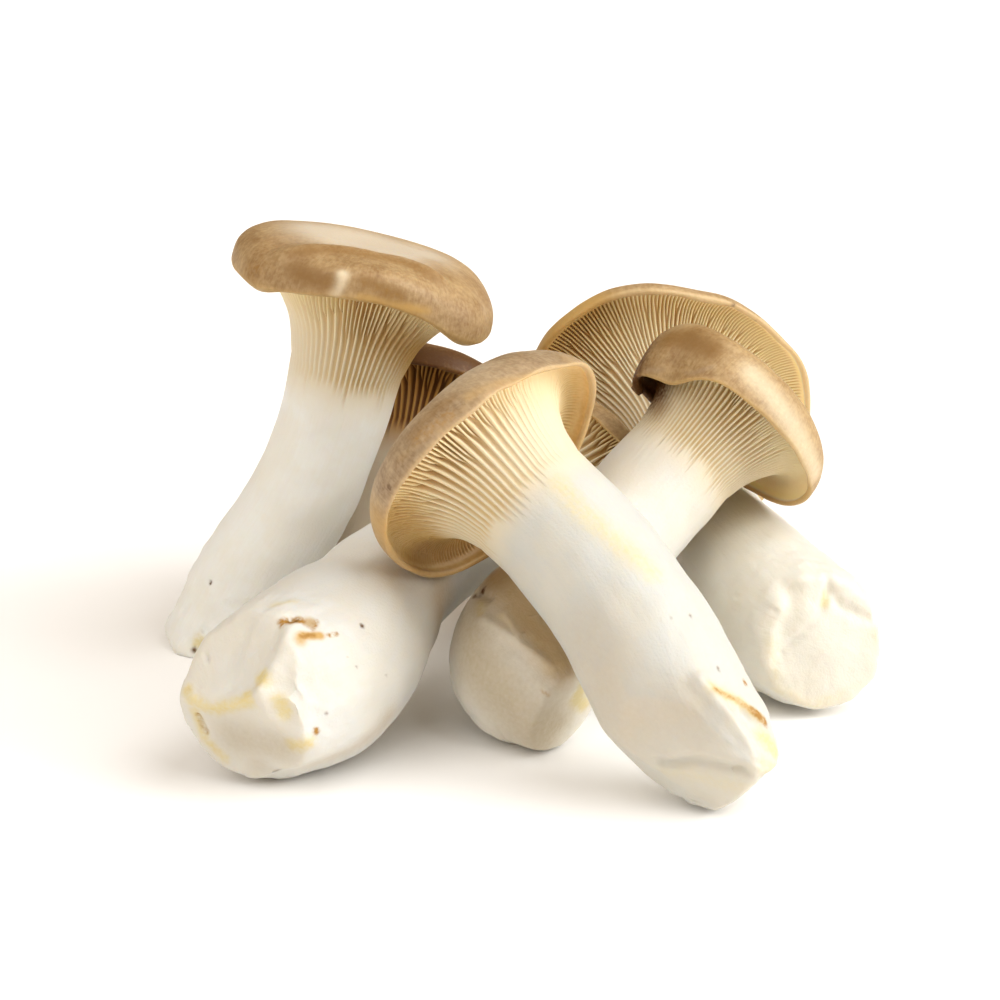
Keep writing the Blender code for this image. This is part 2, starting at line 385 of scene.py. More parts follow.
starts, runs = gill_starts(HEAP[0])
print(f"gills on the standing mushroom: {len(starts)}, of which {int((starts == 0).sum())} long")

# %% [markdown]
# ## One closed skin
# The rows are stacked from the foot, up the stem, out under the gills, round the rim and in
# over the top, and neighbouring rows are joined with faces. Rows may have different numbers
# of points: the stem needs few, the gills need many. Each point also remembers what it is
# (gill, valley, cap skin, place along the grain), and the materials read that later.

# %% Rows of points
STEM_SIDES = 240
TOP_SIDES = 320
FOOT_ROWS = 16
FOOT_REACH = 36.0
FOOT_REACH_ROWS = 62
STEM_ROWS = 44
NECK_ROWS = 14
GILL_ROWS = 36
LIP_ROWS = 9
TOP_ROWS = 28
FOOT_BULGE = 0.35
FOOT_CENTRE = 0.06
LIP_END = 0.63
NEAR_CROWN = 0.985
PROFILE_STEPS = 400
GRAIN_TURN = 15.0
NOISE_PER_MM = 0.25
NOISE_PER_REACH = 6
FIELDS = ("gill", "valley", "skin", "top", "stem")


def circle(sides):
    return np.arange(sides) * 2 * math.pi / sides


def row(points, grain, **fields):
    """A row of points, their place along the grain, and what each point is."""
    values = {name: np.broadcast_to(fields.get(name, 0.0), len(points)) for name in FIELDS}
    return {"points": points, "grain": grain, **values}


def mushroom_rows(m):
    """The rows from foot to crown, the stem's line, and how far along it each station is."""
    stations = curve_through(m.stem, np.linspace(0, 1, LINE_STEPS))
    line, girth = stations[:, :3], stations[:, 3]
    right, forward, along = frames_along(line)
    run = np.concatenate([[0], np.cumsum(np.linalg.norm(np.diff(line, axis=0), axis=1))])
    starts, runs = gill_starts(m)
    rows = []

    def spokes(angle, i):
        return np.outer(np.cos(angle), right[i]) + np.outer(np.sin(angle), forward[i])

    def grain(angle, way, rho=GRAIN_TURN):
        return around(angle, min(rho, GRAIN_TURN)) + np.array([0, 0, way])

    angle = circle(STEM_SIDES)
    for t in np.linspace(FOOT_CENTRE, 1, FOOT_ROWS)[:-1]:
        lift = -FOOT_BULGE * girth[0] * math.sqrt(1 - t * t)
        points = line[0] + lift * along[0] + t * girth[0] * spokes(angle, 0)
        rows.append(row(points, grain(angle, lift - girth[0] * (1 - t), t * girth[0]), stem=0.0))
    neck_at = np.searchsorted(run, run[-1] - m.gill_run)
    fine_at = np.searchsorted(run, FOOT_REACH)
    low_rows = np.linspace(0, fine_at, FOOT_REACH_ROWS)
    high_rows = np.linspace(fine_at, neck_at, STEM_ROWS)
    for i in np.unique(np.concatenate([low_rows, high_rows]).astype(int)):
        points = line[i] + girth[i] * spokes(angle, i)
        rows.append(row(points, grain(angle, run[i]), stem=run[i] / run[-1]))
    for i in np.unique(np.linspace(neck_at, LINE_STEPS - 1, NECK_ROWS).astype(int))[1:-1]:
        below = run[-1] - run[i]
        angle, low, hollow = gill_row(m, starts, runs, 0.0, below, -NOISE_PER_MM * below)
        points = line[i] + (girth[i] - low)[:, None] * spokes(angle, i)
        rows.append(row(points, grain(angle, run[i]), stem=run[i] / run[-1],
                        gill=ease(m.gill_run, 0, below), valley=hollow))
    profile = cap_profile(m, girth[-1])
    axes = np.stack([right[-1], forward[-1], along[-1]])
    profile_places = np.linspace(0, 1, PROFILE_STEPS)
    fine = curve_through(profile, profile_places)
    walk = np.concatenate([[0], np.cumsum(np.linalg.norm(np.diff(fine, axis=0), axis=1))])

    def cap_points(place, angle, low):
        local, height = cap_ring(m, profile, place, angle, low)
        share = min(1.0, max(0.0, height / m.depth))
        tip = turn((1, 0, 0), m.lean[0] * share) @ turn((0, 1, 0), m.lean[1] * share)
        way = run[-1] + np.interp(place, profile_places, walk)
        rho = curve_through(profile, [place])[0][0]
        return line[-1] + local @ axes @ tip.T, grain(angle, way, max(rho, 0.5))

    for place in np.linspace(0, RIM_START, GILL_ROWS):
        rho = curve_through(profile, [place])[0][0]
        reach = max(0.0, (rho - girth[-1]) / (m.radius - girth[-1]))
        angle, low, hollow = gill_row(m, starts, runs, reach, 0.0, NOISE_PER_REACH * reach)
        points, way = cap_points(place, angle, low)
        rows.append(row(points, way, stem=1.0, gill=1.0, valley=hollow, top=reach))
    angle = circle(TOP_SIDES)
    for place in np.linspace(RIM_START, LIP_END, LIP_ROWS + 1)[1:]:
        points, way = cap_points(place, angle, 0 * angle)
        rows.append(row(points, way, stem=1.0, gill=ease(0.52, 0.49, place),
                        skin=ease(0.50, 0.60, place), top=1.0))
    for place in np.linspace(LIP_END, NEAR_CROWN, TOP_ROWS + 1)[1:]:
        points, way = cap_points(place, angle, 0 * angle)
        rows.append(row(points, way, stem=1.0, skin=1.0, top=1 + ease(0.6, 1.0, place)))
    return rows, line, run


rows, line, run = mushroom_rows(HEAP[0])
point_count = sum(len(r["points"]) for r in rows)
print(f"standing mushroom: stem {run[-1]:.0f} mm, rows {len(rows)}, points {point_count}")

# %% [markdown]
# ## Ridges, creases and hollows
# Up close each foot is different: a ridge left between two knife faces, a crease where the
# flesh folded, a hollow where a lump broke off. In a sculpting program these would be brush
# strokes, and here they are too: each stroke is a short line in space with a width and a
# height, and every point near it moves out by a smooth bump, or in where the height is
# below zero. A stroke with one place is a round dent or knob.

# %% Strokes on the flesh
Stroke = namedtuple("Stroke", "line width height")

STROKES = {
    "standing_mushroom": [
        Stroke([(-38, 26, 112)], 15, -2.6),
        Stroke([(-65, 8, 105)], 7, 1.0),
        Stroke([(-10, 12, 93)], 8, 1.6),
        Stroke([(-58, 7, 113.3), (-46.1, 8.5, 113), (-38.7, 10.5, 111.8), (-28.6, 12.5, 109.8),
                (-18.3, 9.5, 106.4)], 3.2, 1.5),
        Stroke([(-60, 15, 113), (-47, 16, 112.5), (-38.7, 17.5, 111), (-28.6, 19.5, 109),
                (-19, 16, 106.5)], 3.4, -1.1),
        Stroke([(-80.9, 15.4, 22.5), (-80.2, 16, 20)], 0.7, -0.5),
        Stroke([(-39.1, -5, 109), (-39.1, -5.3, 104.5)], 0.6, -0.7),
        Stroke([(-44.6, -4.4, 107.5), (-45, -5, 104.5)], 1.6, -0.6),
        Stroke([(-85, 13, 3), (-82.5, 13.2, 8)], 1.6, -0.6),
    ],
    "left_mushroom": [
        Stroke([(-50.6, -71, 41.6), (-52.6, -75.3, 38.3), (-55.0, -77.7, 33.6),
                (-57.5, -79.9, 29.0)], 2.2, 1.3),
        Stroke([(-57.5, -80, 28), (-56.7, -80.6, 23.1), (-53, -81.6, 20.1),
                (-48.1, -83.6, 18.4)], 2.1, 1.1),
        Stroke([(-49.6, -82.6, 28.5)], 6.5, -2.2),
        Stroke([(-49.3, -77.6, 35.5), (-51.5, -81, 30)], 3.2, -1.0),
        Stroke([(-51.3, -69.5, 42.3)], 1.5, -1.5),
        Stroke([(-47.6, -69.5, 41.4)], 1.6, -0.7),
        Stroke([(-75.1, -70.7, 22.7), (-71.9, -72.2, 21.8), (-65.2, -76.3, 23.5),
                (-60.6, -79.1, 27.0)], 1.3, 0.7),
        Stroke([(-73.9, -70.2, 18.4), (-72.5, -69.7, 14.2)], 0.8, -0.8),
        Stroke([(-68.6, -73.5, 24.6), (-63.5, -76.3, 29.5)], 0.7, -0.4),
        Stroke([(-72.6, -65.3, 32.4), (-71.5, -66.5, 30.8)], 0.6, -0.5),
        Stroke([(-66, -71, 32)], 7, -0.9),
        Stroke([(-64, -74, 16)], 7, -0.7),
        Stroke([(-55, -76, 4), (-47, -78, 4), (-39, -73, 3)], 6, -2.4),
    ],
    "middle_mushroom": [
        Stroke([(-8.7, -31.8, 35.1), (-5.7, -38.1, 36.1)], 1.0, -1.4),
        Stroke([(-6.7, -43.8, 32.5), (0.6, -50.4, 29.9), (8.3, -55.2, 25.3)], 1.5, 1.1),
        Stroke([(3.1, -44.1, 35.2)], 5.5, -1.8),
        Stroke([(-2, -44, 34.6), (1.5, -49.5, 31)], 0.9, 0.6),
        Stroke([(13, -52, 18), (17.5, -47.5, 18.5)], 1.2, 0.9),
    ],
    "right_mushroom": [
        Stroke([(69.0, -25.6, 34.2)], 3.6, -1.5),
        Stroke([(65.7, -23, 36), (64.6, -25.5, 31.5), (66.6, -27, 29.5)], 2.2, 0.4),
        Stroke([(73, -24.5, 36.5), (72.6, -26, 31)], 2.4, 0.3),
        Stroke([(79.1, -21.8, 36.3), (79.6, -23.3, 32.3), (77.3, -24.9, 27.5),
                (72.2, -27.4, 22.3), (67.6, -29.4, 18.5)], 1.2, -0.7),
        Stroke([(67.4, -26.7, 31.4), (64.9, -28.9, 24.2), (64.0, -31.0, 15.6)], 1.8, 0.7),
        Stroke([(80.3, -23.1, 32.2), (83.0, -23.3, 28.0), (87.2, -22.7, 25.9),
                (92.0, -21.7, 23.6)], 1.6, -0.7),
        Stroke([(56.6, -17.8, 29.2), (65.7, -27.7, 28.8)], 0.7, -0.5),
        Stroke([(73.5, -27, 27)], 4, 1.2),
        Stroke([(80, -27, 17)], 7, 1.0),
    ],
    "front_mushroom": [
        Stroke([(42.1, -88.8, 35.1), (46.2, -90.4, 30.9), (50.1, -91.2, 25.9),
                (53.0, -92.6, 20.8), (54.2, -93.6, 18.3)], 1.9, 1.8),
        Stroke([(50.9, -89.1, 27.4), (52.5, -90.8, 23.7), (55.2, -91.8, 19.2)], 1.3, 0.9),
        Stroke([(49.4, -89.6, 29), (51.7, -91, 24.5), (54.4, -92.4, 19.8)], 0.9, -0.8),
        Stroke([(45.6, -89.1, 33.0), (51.5, -86.8, 29.4), (57.3, -85.0, 24.0)], 0.9, 0.5),
        Stroke([(52.5, -88, 26.8), (56.3, -87, 21.8)], 1.8, -1.0),
        Stroke([(39.5, -91.2, 24.4)], 9, -2.3),
        Stroke([(33.8, -87.3, 13.1), (42.5, -90.7, 15.6), (51.3, -94.0, 15.3)], 1.6, -1.6),
        Stroke([(36, -88.8, 16.5), (44, -91.5, 19), (52, -94, 18)], 1.5, 0.9),
        Stroke([(54.5, -93.5, 17), (58.5, -91, 15)], 0.7, -0.7),
        Stroke([(53, -94, 14.2), (57.5, -91.5, 12.6)], 0.7, -0.8),
        Stroke([(24, -84, 8), (33, -86, 7), (42, -89, 5)], 6, -2.8),
        Stroke([(55, -93, 16), (60, -89, 14)], 1.6, 0.8),
    ],
    "rear_mushroom": [],
}


def distance_to_line(points, line):
    """The distance of each point to a line of several straight pieces, or to a single place."""
    line = np.asarray(line, float)
    if len(line) == 1:
        return np.linalg.norm(points - line[0], axis=1)
    nearest = np.full(len(points), np.inf)
    for a, b in zip(line, line[1:]):
        share = np.clip((points - a) @ (b - a) / ((b - a) @ (b - a)), 0, 1)
        off = points - a - share[:, None] * (b - a)
        nearest = np.minimum(nearest, np.linalg.norm(off, axis=1))
    return nearest


def fall_off(points, mark):
    """1 on the line of a stroke or a dab, falling smoothly to 0 away from it."""
    return np.exp(-(distance_to_line(points, mark.line) / mark.width) ** 2)


def strokes_height(points, strokes):
    total = np.zeros(len(points))
    for stroke in strokes:
        total += stroke.height * fall_off(points, stroke)
    return total


print("strokes:", sum(len(some) for some in STROKES.values()))

# %% [markdown]
# ## Stains, marks and painted shade
# Fresh mushrooms carry marks: rust-brown bruises, yellow edges where the flesh dried, dark
# specks of compost, and paler skin where something pressed on the cap. Other dabs are painted
# shade: darker, warmer colour where one mushroom lies in the shade of another, in creases
# and hollows, and under the caps; one is a painted highlight along a ridge. An image texture
# would need an unwrapped surface, so the marks are painted the same way as the dents: a dab
# of colour is a short line with a width and a strength, and every point near it remembers
# how much of that colour it got. The finish later gives the dabs a ragged edge.

# %% Dabs of colour
Dab = namedtuple("Dab", "line width strength")

# Tan, gold and brown serve for real marks and also for painted shade, and cream once for a painted
# highlight; each painted dab is marked below.
DAB_COLOURS = {
    "tan": (0.47, 0.33, 0.17, 1),
    "yellow": (0.68, 0.57, 0.29, 1),
    "gold": (0.52, 0.32, 0.10, 1),
    "pale": (0.56, 0.47, 0.35, 1),
    "cream": (0.76, 0.64, 0.44, 1),
    # painted shade: a dull khaki for flesh that lies in the shade of another mushroom
    "khaki": (0.40, 0.32, 0.20, 1),
    # painted shade: a dark warm brown for shade in creases, in hollows and under the caps
    "painted_shade": (0.25, 0.13, 0.035, 1),
    "rust": (0.36, 0.18, 0.03, 1),
    "brown": (0.11, 0.045, 0.01, 1),
}
RAGGED = {"rust": 2.6, "brown": 1.4, "yellow": 1.2}
LESS_RAGGED = 0.3

DABS = {
    "standing_mushroom": {
        "pale": [Dab([(-47, 28, 112.5), (-36.9, 31, 111), (-28, 29, 109)], 14, 1)],
        # painted shade: along the crease in front of the cap's fold, on the front of the rim and on
        # the right side of the top
        "painted_shade": [
            Dab([(-56, 5, 113), (-46.1, 6.5, 112.9), (-38.7, 8, 111.8), (-28.6, 9.5, 109.8),
                (-18.3, 7, 105.5)], 2.6, 0.62),
            Dab([(-56, 1.5, 110.5), (-51.7, -1.2, 108.5), (-47, -3.3, 107.5)], 3.8, 0.8),
            Dab([(-37, -4, 108), (-27.5, -3.8, 103.6)], 2.4, 0.6),
            Dab([(-20, 22, 107), (-17, 16, 105)], 6, 0.4),
        ],
        "rust": [
            Dab([(-36.3, -5, 106.5), (-27.5, -4, 103)], 2.2, 0.3),
            Dab([(-68, 8, 108), (-62, 3, 112)], 5, 0.35),
            Dab([(-28.8, 39, 109), (-24, 35, 108)], 1.6, 0.5),
        ],
        "cream": [Dab([(-42.6, -4.4, 109.4), (-43.6, -5.3, 107), (-44.6, -5.6, 105)], 2.3, 1.2)],
        "brown": [
            Dab([(-38.9, -4.9, 108.5), (-38.7, -5.3, 104.8)], 0.7, 0.9),
            Dab([(-82.9, 13.4, 7.4)], 0.7, 0.9), Dab([(-85.2, 13.1, 2.4)], 1, 1),
            Dab([(-80.5, 15.8, 21.1), (-80.1, 16, 19.9)], 0.6, 0.8),
        ],
        "gold": [
            Dab([(-38, -5.6, 103.8), (-30.4, -5.1, 101.8), (-20.6, -0.8, 99)], 1.6, 0.8),
            # painted shade: warm shade on the right side of the neck, which faces the other
            # mushrooms
            Dab([(-31, 13, 92), (-26, 20, 84), (-26, 30, 74)], 9, 0.8),
        ],
        "yellow": [Dab([(-83.8, 13.0, 4.1)], 3, 0.8)],
    },
    "left_mushroom": {
        # painted shade: low on the front of the foot, near the floor
        "khaki": [
            Dab([(-65.5, -73.5, 14), (-54, -79.5, 14)], 8.5, 0.5), Dab([(-60, -74.5, 8)], 7, 0.4),
        ],
        "yellow": [
            Dab([(-75.1, -70.7, 22.7), (-69.4, -73.4, 21.3), (-65.2, -76.3, 23.5),
                (-60.6, -79.1, 26.0)], 2.4, 0.72),
            Dab([(-74.6, -70.2, 20), (-73, -69.5, 12), (-68.5, -70.5, 7.5)], 2, 0.7),
            Dab([(-57.5, -78.3, 31)], 2.6, 1), Dab([(-61.4, -78.7, 26.8)], 2.2, 0.9),
            Dab([(-53.8, -82.5, 27.5), (-52.5, -82.5, 24.5)], 2.4, 0.8),
            Dab([(-47.4, -83.0, 17.2), (-51, -81.8, 16)], 2.6, 0.8),
            Dab([(-56, -62.5, 43), (-51, -61, 44.5)], 2.2, 0.45),
            Dab([(-76.8, -69.8, 25)], 2.2, 0.9),
        ],
        "rust": [
            Dab([(-76.6, -69.8, 25)], 1.1, 0.6),
            Dab([(-48.8, -73.4, 39.8), (-46.2, -72.3, 39.6)], 0.9, 0.7),
            Dab([(-53, -70.2, 41.8), (-49.5, -69.2, 42.4)], 1.6, 1),
            Dab([(-45.6, -67.9, 41.7), (-46.4, -70.6, 40.8)], 0.8, 0.9),
            Dab([(-43.2, -70.5, 38.7), (-41.0, -68.5, 38.4)], 0.7, 0.7),
            Dab([(-73.9, -70.2, 18.4), (-73.2, -69.9, 16), (-72.5, -69.7, 14.2)], 0.9, 1),
            Dab([(-45.2, -82.4, 19.7)], 1.1, 1),
        ],
        "gold": [
            Dab([(-48.8, -73.4, 39.8), (-46.2, -72.3, 39.6), (-44.6, -71.4, 39.2)], 1.3, 1),
            # painted shade: the wide second dab on the line below, on the neck under the front
            # mushroom's cap
            Dab([(-49.3, -74, 39.2)], 2.2, 0.8), Dab([(-27.5, -34, 43), (-30, -42, 43)], 8, 0.4),
        ],
        "brown": [
            Dab([(-51.6, -69.6, 42.3), (-50.2, -69.2, 42.5)], 0.9, 1),
            Dab([(-72.9, -69.8, 15.2)], 0.7, 0.9), Dab([(-35.5, -62.2, 38.0)], 0.7, 1),
            Dab([(-36.3, -70.9, 31.1)], 0.5, 0.6), Dab([(-38.6, -71.9, 34.0)], 0.5, 0.5),
            Dab([(-42.9, -80.4, 23.3)], 0.6, 0.8), Dab([(-29.7, -64.1, 26.4)], 0.5, 0.6),
            Dab([(-21.3, -45.5, 20.9)], 0.6, 0.7),
            Dab([(-72.6, -65.5, 32.0), (-71.8, -66.2, 31.2)], 0.5, 0.6),
        ],
        "tan": [
            Dab([(-47.0, -68.9, 41.7)], 2, 1),
            # painted shade: these two dabs, on the neck under the front mushroom's cap and low on
            # the right side near the floor
            Dab([(-17.9, -29.6, 32.5), (-22, -20, 38)], 10, 0.6),
            Dab([(-30, -62, 14), (-45, -74, 6)], 6, 0.4),
        ],
    },
    "middle_mushroom": {
        # painted shade: the foot, which lies in the shade of the front mushroom's stem
        "khaki": [
            Dab([(-10.4, -40.2, 31.2), (-9.1, -49.1, 24.2), (-0.6, -56.5, 16), (9.1, -54.5, 8)],
                13, 0.66),
        ],
        "cream": [
            # painted highlight: a pale line along the ridge of the fold on the foot
            Dab([(-3, -44, 34), (3, -51, 28), (9, -55, 24)], 1.6, 0.7),
            Dab([(60, -6, 84), (67, -8, 76), (74, -8, 66), (78, -3, 57)], 4.6, 0.55),
        ],
        # painted shade: the top of the foot, under the front mushroom
        "tan": [Dab([(-3, -31, 39), (4.3, -44.4, 32.7), (11.4, -53.4, 25.9)], 8, 0.85)],
        "brown": [
            Dab([(-9.4, -31.6, 34.6), (-6.9, -32.6, 36.2)], 1, 1),
            Dab([(2.8, -48.6, 31.5)], 0.7, 0.8),
            # painted shade: the large dab darkens the hollow under the cap's curled left side
            Dab([(33, 14, 79), (37.7, 32.9, 69.8), (40, 38, 60)], 10, 1.4),
        ],
        "yellow": [
            Dab([(-7.9, -36.5, 34.9), (-7.6, -41, 33.2)], 2, 0.7),
            Dab([(17.8, -46.0, 11.1), (15.5, -50.2, 14.2), (17.2, -49, 20)], 2.6, 0.9),
        ],
        "rust": [Dab([(7, -59.2, 20.2), (10, -58.8, 18.2)], 0.8, 0.4)],
        # painted shade: on the curled left lobe of the cap and in the hollow under it
        "painted_shade": [
            Dab([(39, 6.5, 91), (45, 2.6, 91), (50.1, -2.2, 89.6)], 4.2, 0.8),
            Dab([(52, -3.6, 88.6)], 2.2, 0.6), Dab([(35, 10, 76), (38, 4, 72)], 5, 0.6),
        ],
        "pale": [
            Dab([(34, 3.7, 82.6), (40, -1.5, 84.2), (46, -5.9, 84.4), (50.5, -6.6, 86.2)],
                1.3, 0.3),
        ],
    },
    "right_mushroom": {
        "brown": [
            Dab([(79.8, -22.2, 35.9)], 0.7, 1), Dab([(62.3, 67.1, 84.4)], 0.9, 0.8),
            Dab([(68.6, 70.2, 79.0)], 0.7, 0.7),
        ],
        "yellow": [
            Dab([(79.4, -23.4, 32.4), (78.6, -24.2, 29.5)], 1.5, 0.9),
            Dab([(64.4, -30, 22), (66.5, -31.3, 9), (76, -30.5, 4), (88, -24, 8)], 2.6, 0.35),
            Dab([(92, -20.5, 14), (92, -21, 21)], 3, 0.35),
        ],
        "gold": [Dab([(22, 59, 81), (12, 61, 70), (10, 62, 57)], 11, 1.1)],
    },
    "front_mushroom": {
        "rust": [
            Dab([(-22, -65.6, 84.5), (-18.5, -65.8, 87.8), (-14.5, -64.6, 90.2)], 2.2, 0.4),
            Dab([(17, -22, 87.5), (18, -15, 78), (16.2, -11.5, 68)], 2.5, 0.2),
            Dab([(45.6, -89.1, 33.0), (51.5, -86.8, 29.4), (57.3, -85.0, 24.0)], 0.9, 0.5),
            Dab([(55, -85.6, 26.8), (58, -84.5, 23)], 1.3, 0.9),
            Dab([(53.4, -80.6, 31.3)], 1, 0.9),
        ],
        # painted shade: on the upper left of the cap's skin and under the cap's lower side
        "painted_shade": [
            Dab([(-23.5, -64, 86), (-20, -63, 89.5), (-14, -60.5, 93)], 2.8, 0.48),
            Dab([(-21, -36, 47), (-14.2, -23.6, 43), (-4, -17, 42)], 7, 0.6),
        ],
        "gold": [
            Dab([(-25, -65, 80), (-16, -66.4, 88), (-6, -61, 94.6)], 2, 0.35),
            # painted shade: this dab and the next, a warm band inside the rim where the gills end
            Dab([(-10, -61.5, 93.4), (-3, -58.2, 95.4), (3.9, -53.5, 95.7), (10, -44, 94.5),
                (14.5, -33, 92)], 2.4, 0.5),
            Dab([(-3, -55.5, 93), (6, -47.5, 92.3), (12, -38, 90.5)], 3.4, 0.5),
            # painted shade: the inner side of the right rim
            Dab([(12, -36, 92), (16, -23, 87.5), (17, -15, 78), (15.2, -11.5, 68)], 5, 0.6),
            # painted shade: these three dabs, on the lower side of the cap's underside
            Dab([(-28.6, -54.3, 62), (-22, -39, 51)], 10, 0.75),
            Dab([(-24, -55, 78), (-27, -54, 68)], 8, 0.5),
            Dab([(-22, -39, 50), (-14.2, -23.6, 44), (-4, -17, 43)], 9, 0.9),
            Dab([(45.6, -89.1, 33.0), (51.5, -86.8, 29.4), (57.3, -85.0, 24.0)], 1.3, 0.6),
        ],
        "brown": [
            Dab([(-28.6, -64.4, 73.0)], 0.8, 1),
            Dab([(46.7, -84.2, 36.2), (47.6, -84.8, 35.3)], 0.6, 0.8),
            Dab([(33.6, -80.9, 46.6)], 0.5, 0.6), Dab([(35.9, -79.7, 46.8)], 0.5, 0.5),
            Dab([(40.7, -77.1, 46.1)], 0.6, 0.7), Dab([(52.9, -91.7, 22.1)], 0.7, 0.8),
            Dab([(37.8, -88.0, 9.6), (39.6, -88.2, 9.4)], 0.6, 0.9),
        ],
        "pale": [Dab([(-10, -48.7, 96.7), (-16, -52, 94)], 7, 0.45)],
        # painted shade: the front of the foot, which faces down and away from the light
        "tan": [Dab([(18, -79, 41), (24.4, -85.3, 23.8), (37.6, -90.5, 28)], 15, 0.36)],
        "yellow": [
            Dab([(10.9, -60, 72.1), (15.5, -64.7, 67.6), (23.4, -68.8, 61.7), (31.6, -72.8, 55.3)],
                4.4, 0.5),
            Dab([(44.5, -88.8, 33.4), (51.5, -86.8, 29.4), (57.3, -85.0, 24.0)], 1.9, 0.7),
            Dab([(57.3, -87.9, 21.3), (60, -87, 17)], 3, 0.8),
            Dab([(56, -92, 15.5), (60, -89, 13)], 3, 0.5),
            Dab([(35, -87, 11), (44, -90, 11.5), (52, -93, 11)], 3.6, 0.32),
        ],
    },
    "rear_mushroom": {
        # painted shade: a dark band on the front of the cap, which lies in deep shade
        "brown": [Dab([(-30, 47, 74), (-19.4, 47.8, 75.4), (-8, 52, 72)], 6, 1)],
    },
}


def dab_amount(points, dabs):
    """How much of one colour each point got, from 0 to 1."""
    total = np.zeros(len(points))
    for dab in dabs:
        total = np.maximum(total, dab.strength * fall_off(points, dab))
    return total


print("dabs:", sum(len(dabs) for colours in DABS.values() for dabs in colours.values()))

# %% [markdown]
# ## Knife faces and the floor
# The feet were trimmed with a knife, which leaves nearly flat faces with soft edges. A boolean
# would cut them sharp and spoil the even mesh. Instead, each point that lies beyond the
# knife's plane is drawn towards the heart of the stem, a point 30 mm up from the foot, until
# it lies on the plane. A point just inside gives way a little too, which rounds the edge.
# Where a mushroom would reach below the floor it is pressed flat against it.

# %% Trimming
SOFT_EDGE = 0.045
SOFTER = {"front_mushroom": 0.10, "right_mushroom": 0.07}
HEART = 30.0
CUT_BELOW = 0.5
UNTOUCHED = 0.75
FACE_STARTS = (0.97, 1.02)


def trim(points, heart, cuts, moved, soft):
    """Draws the moved points to the inner side of each knife plane, with an edge that is soft.

    Returns all points, and a mask that is 1 on a knife face.
    """
    cut = np.zeros(len(points))
    for point, direction in cuts:
        normal = unit(direction)
        room = (np.asarray(point) - heart) @ normal
        ray = points - heart
        share = np.maximum((ray @ normal) / room, 1e-6)
        near = 1 / share
        keep = 0.5 * (1 + near - np.sqrt((1 - near)**2 + soft**2)) + 0.25 * soft**2
        keep = np.where(moved, np.clip(keep, 0, 1), 1.0)
        keep = np.where(share < UNTOUCHED, 1.0, keep)
        cut = np.where(moved, np.maximum(cut, ease(*FACE_STARTS, share)), cut)
        points = heart + ray * keep[:, None]
    return points, cut


# %% [markdown]
# ## From rows to a mesh
# Now the rows become a mesh. The first shape gives each point its outward direction, and
# the stem's slow lumps are pushed along it. They are stronger at the foot, where the
# mushroom grew against its neighbours, and fade at the gills. Then come the knife faces, the
# strokes and a fine roughness where the flesh is cut. Each pair of numbers for the lumps,
# knots and roughness is the height of a layer of noise and the size of its bumps.

# %% Faces between two rows
def faces_between(first, n, second, m):
    """Faces between a row of n points from first on and a row of m points from second on."""
    if n == m:
        j = np.arange(n)
        k = (j + 1) % n
        return np.stack([first + j, first + k, second + k, second + j], 1).tolist()
    steps = max(n, m)
    faces = []
    for j in range(steps):
        a, b = j * n // steps, (j + 1) * n // steps
        c, d = j * m // steps, (j + 1) * m // steps
        corners = [first + a, first + b % n, second + d % m, second + c]
        faces.append([v for i, v in enumerate(corners) if v != corners[i - 1]])
    return faces


print("faces between rows of 4 and 2 points:", len(faces_between(0, 4, 4, 2)))

# %% Build one mushroom
LUMPS = ((0.55, 14), (0.30, 6))
KNOTS = ((0.50, 5), (0.25, 2.2))
CUT_ROUGHNESS = ((0.09, 1.6), (0.30, 4.5))
FOOT_SHARE = 0.25
FIBRE_HEIGHT = 0.05
FIBRE_STRETCH = np.array([3, 3, 0.35])
LOW_PART = (0.55, 0.0)


def outward(mesh):
    """The direction in which the skin faces at each point."""
    normals = np.zeros(len(mesh.vertices) * 3, np.float32)
    mesh.vertex_normals.foreach_get("vector", normals)
    return normals.reshape(-1, 3).astype(float)


